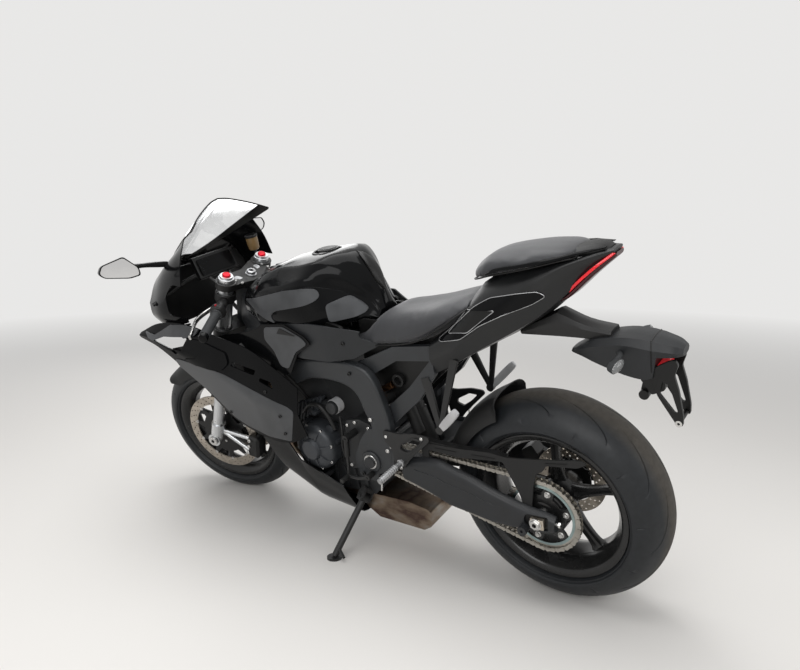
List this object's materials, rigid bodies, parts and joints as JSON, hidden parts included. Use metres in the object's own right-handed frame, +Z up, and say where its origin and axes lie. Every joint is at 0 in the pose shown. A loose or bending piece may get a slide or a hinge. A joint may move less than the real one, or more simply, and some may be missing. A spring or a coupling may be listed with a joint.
{
  "type": "sport motorcycle",
  "caption": "Supersport motorcycle with full fairing, leaning on its side stand with the bars turned left; wheels, steering, stand and filler lid move.",
  "frame": {"origin": "on the floor below the middle of the whole machine's box, as it leans on its side stand", "axes": "+X to the front of the machine, +Y to the rider's left, +Z up"},
  "size_m": [2.1105, 0.8146, 1.1907],
  "materials": {
    "frame_paint": "satin dark grey",
    "engine_paint": "satin dark grey",
    "black_metal": "satin black",
    "rim_paint": "satin black",
    "rubber": "matte",
    "gloss_black": "gloss black",
    "matte_plastic": "fine grain",
    "seat_cover": "matte grained",
    "clear_screen": "clear",
    "lamp_lens": "clear",
    "red_lens": "gloss",
    "disc_steel": "ground",
    "chain_steel": "plated",
    "bare_steel": "brushed",
    "fork_metal": "satin black and polished tube",
    "caliper_metal": "gloss black",
    "control_alloy": "satin",
    "core_metal": "black"
  },
  "bodies": {
    "chassis": {"headstock": "frame_paint", "frame_spars": "frame_paint", "engine_block": "engine_paint", "engine_covers": "engine_paint", "radiator": "core_metal", "exhaust": "bare_steel", "silencer": "bare_steel", "subframe": "frame_paint", "passenger_pegs": "black_metal", "stand_bracket": "black_metal", "swingarm": "frame_paint", "swingarm_arms": "frame_paint", "stand_spools": "frame_paint", "rear_axle": "bare_steel", "rear_caliper": "caliper_metal", "rear_shock": "fork_metal", "hugger": "matte_plastic", "chain_guard": "matte_plastic", "chain": "chain_steel", "foot_controls": "control_alloy", "fuel_tank": "gloss_black", "side_covers": "matte_plastic", "rider_seat": "seat_cover", "pillion_seat": "seat_cover", "tail_cowl": "gloss_black", "tail_light": "red_lens", "plate_bracket": "matte_plastic", "rear_indicators": "matte_plastic", "upper_cowl": "gloss_black", "windscreen": "clear_screen", "instrument_panel": "matte_plastic", "headlights": "lamp_lens", "side_fairings": "gloss_black", "belly_pan": "matte_plastic", "mirrors": "matte_plastic"},
    "steering": {"triple_clamps": "black_metal", "fork_legs": "fork_metal", "front_axle": "bare_steel", "front_mudguard": "gloss_black", "handlebars": "black_metal", "hand_controls": "black_metal", "front_calipers": "caliper_metal"},
    "front_wheel": {"front_rim": "rim_paint", "front_tyre": "rubber", "front_discs": "disc_steel"},
    "rear_wheel": {"rear_rim": "rim_paint", "rear_tyre": "rubber", "rear_disc": "disc_steel", "rear_sprocket": "chain_steel"},
    "side_stand": {"side_stand": "black_metal"},
    "fuel_cap": {"fuel_cap": "control_alloy"}
  },
  "joints": [
    {"name": "steering", "type": "hinge", "parent": "chassis", "child": "steering", "pos_m": [0.47196, -0.00918, 0.82836], "axis": [-0.4038, 0.221, 0.8877], "range_deg": [-37, 13]},
    {"name": "front_wheel_spin", "type": "hinge", "parent": "steering", "child": "front_wheel", "pos_m": [0.74813, -0.13761, 0.28756], "axis": [-0.191, 0.9286, -0.3181], "continuous": true},
    {"name": "rear_wheel_spin", "type": "hinge", "parent": "chassis", "child": "rear_wheel", "pos_m": [-0.7062, -0.13708, 0.31928], "axis": [-0.0008, 0.9703, -0.2419], "continuous": true},
    {"name": "side_stand_swing", "type": "hinge", "parent": "chassis", "child": "side_stand", "pos_m": [-0.05063, -0.02858, 0.18597], "axis": [0.2476, 0.8163, 0.5218], "range_deg": [0, 95]},
    {"name": "fuel_cap_hinge", "type": "hinge", "parent": "chassis", "child": "fuel_cap", "pos_m": [0.06811, 0.03807, 1.01923], "axis": [-0.0008, 0.9703, -0.2419], "range_deg": [0, 80]}
  ]
}
